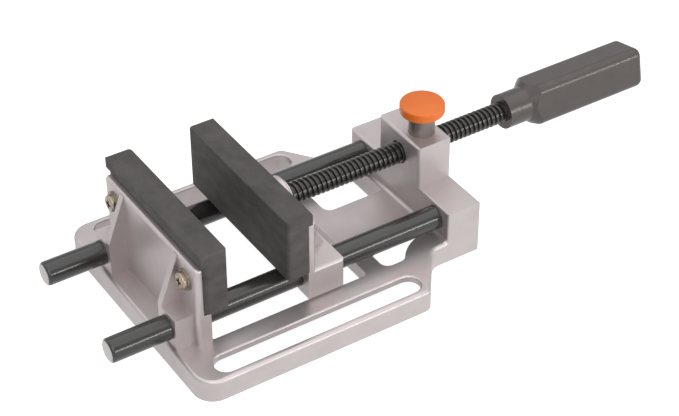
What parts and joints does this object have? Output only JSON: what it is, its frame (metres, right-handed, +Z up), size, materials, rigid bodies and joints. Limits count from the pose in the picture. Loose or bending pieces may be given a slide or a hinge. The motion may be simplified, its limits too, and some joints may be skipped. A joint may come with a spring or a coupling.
{
  "type": "drill press vise",
  "caption": "Drill press vise: slotted flanged base, padded jaws, guide rods, lead screw with a square grip and a push-button quick release.",
  "frame": {"origin": "on the base's underside, where the rib of the cross bar meets the rib of the spine", "axes": "+X from the fixed jaw to the handle along the lead screw, +Z up, so +Y is the side away from the camera in the picture"},
  "size_m": [0.3598, 0.15, 0.0768],
  "materials": {
    "casting": "cast and clear coated, semi-gloss",
    "guide_rod": "black gloss",
    "black_screw": "black oxide",
    "jaw_pad": "matt, finely textured",
    "zinc_screw": "yellow zinc",
    "zinc_washer": "yellow zinc",
    "lead_screw": "black oxide, oiled",
    "bright_steel": "bright",
    "grip": "satin",
    "button": "satin orange",
    "plunger": "dark, turned"
  },
  "bodies": {
    "base": {"base_casting": "casting", "guide_rod_near": "guide_rod", "guide_rod_far": "guide_rod", "rod_grub_screw_front_near": "black_screw", "rod_grub_screw_front_far": "black_screw", "rod_grub_screw_rear_near": "black_screw", "rod_grub_screw_rear_far": "black_screw", "fixed_jaw_pad": "jaw_pad", "fixed_pad_screw_near": "zinc_screw", "fixed_pad_screw_far": "zinc_screw", "fixed_pad_washer_near": "zinc_washer", "fixed_pad_washer_far": "zinc_washer", "plunger_stop_pin": "bright_steel", "release_spring": "bright_steel"},
    "moving_jaw": {"moving_jaw_casting": "casting", "moving_jaw_pad": "jaw_pad", "moving_pad_screw_near": "zinc_screw", "moving_pad_screw_far": "zinc_screw", "moving_pad_washer_near": "zinc_washer", "moving_pad_washer_far": "zinc_washer", "thrust_washer": "bright_steel"},
    "screw": {"lead_screw": "lead_screw", "retaining_ring": "bright_steel", "handle_grip": "grip"},
    "button": {"button_cap": "button", "release_plunger": "plunger"}
  },
  "joints": [
    {"name": "jaw_slide", "type": "slide", "parent": "base", "child": "moving_jaw", "axis": [1, 0, 0], "range_m": [-0.034, 0.065]},
    {"name": "screw_turn", "type": "hinge", "parent": "moving_jaw", "child": "screw", "pos_m": [0, 0, 0.0446], "axis": [1, 0, 0], "range_deg": [-4081, 7801]},
    {"name": "button_press", "type": "slide", "parent": "base", "child": "button", "axis": [0, 0, -1], "range_m": [0, 0.005], "stiffness_N_per_m": 400, "springref_m": -0.004, "deforming": ["release_spring"]}
  ],
  "couplings": [
    {"joint": "screw_turn", "follows": "jaw_slide", "rad_per_m": 2094.4}
  ]
}
